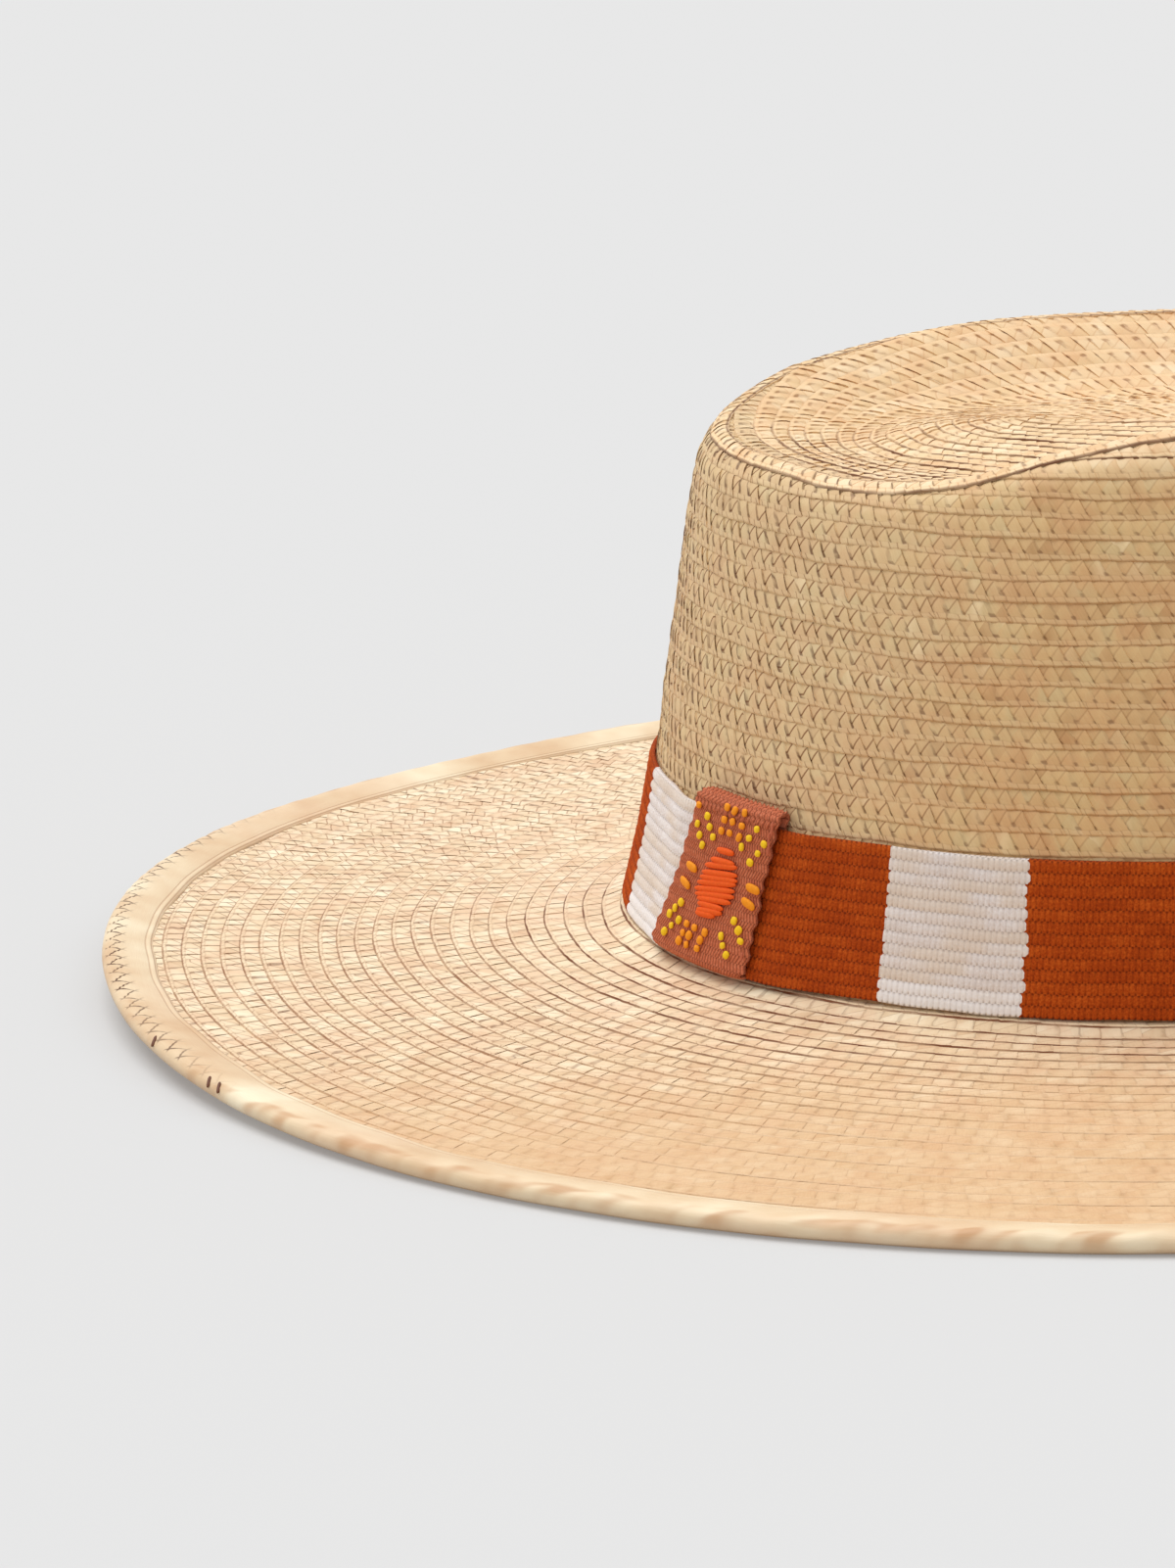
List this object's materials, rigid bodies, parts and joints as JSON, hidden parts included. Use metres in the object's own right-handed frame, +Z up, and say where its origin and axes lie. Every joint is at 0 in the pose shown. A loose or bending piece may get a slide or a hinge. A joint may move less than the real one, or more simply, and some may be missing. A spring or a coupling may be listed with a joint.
{
  "type": "palm leaf hat",
  "caption": "Wide-brimmed hat sewn from palm leaf braid, with an oval telescope crown, a striped woven band and an embroidered band keeper.",
  "frame": {"origin": "on the surface that the brim lies on, under the middle of the crown", "axes": "+X along the head's long axis towards the front, +Y to the far side, +Z up"},
  "size_m": [0.392, 0.358, 0.1035],
  "materials": {
    "palm_leaf": "natural dried palm leaf in sewn braid, satin",
    "leaf_roll": "smooth pale rolled palm leaf, overcast with dark thread",
    "woven_band": "weft-faced cotton, rust orange and white stripes",
    "keeper_cloth": "ribbed terracotta cotton with embroidery"
  },
  "bodies": {
    "root": {"crown": "palm_leaf", "brim": "palm_leaf", "brim_edge": "leaf_roll", "hatband": "woven_band", "band_keeper": "keeper_cloth"}
  },
  "joints": []
}
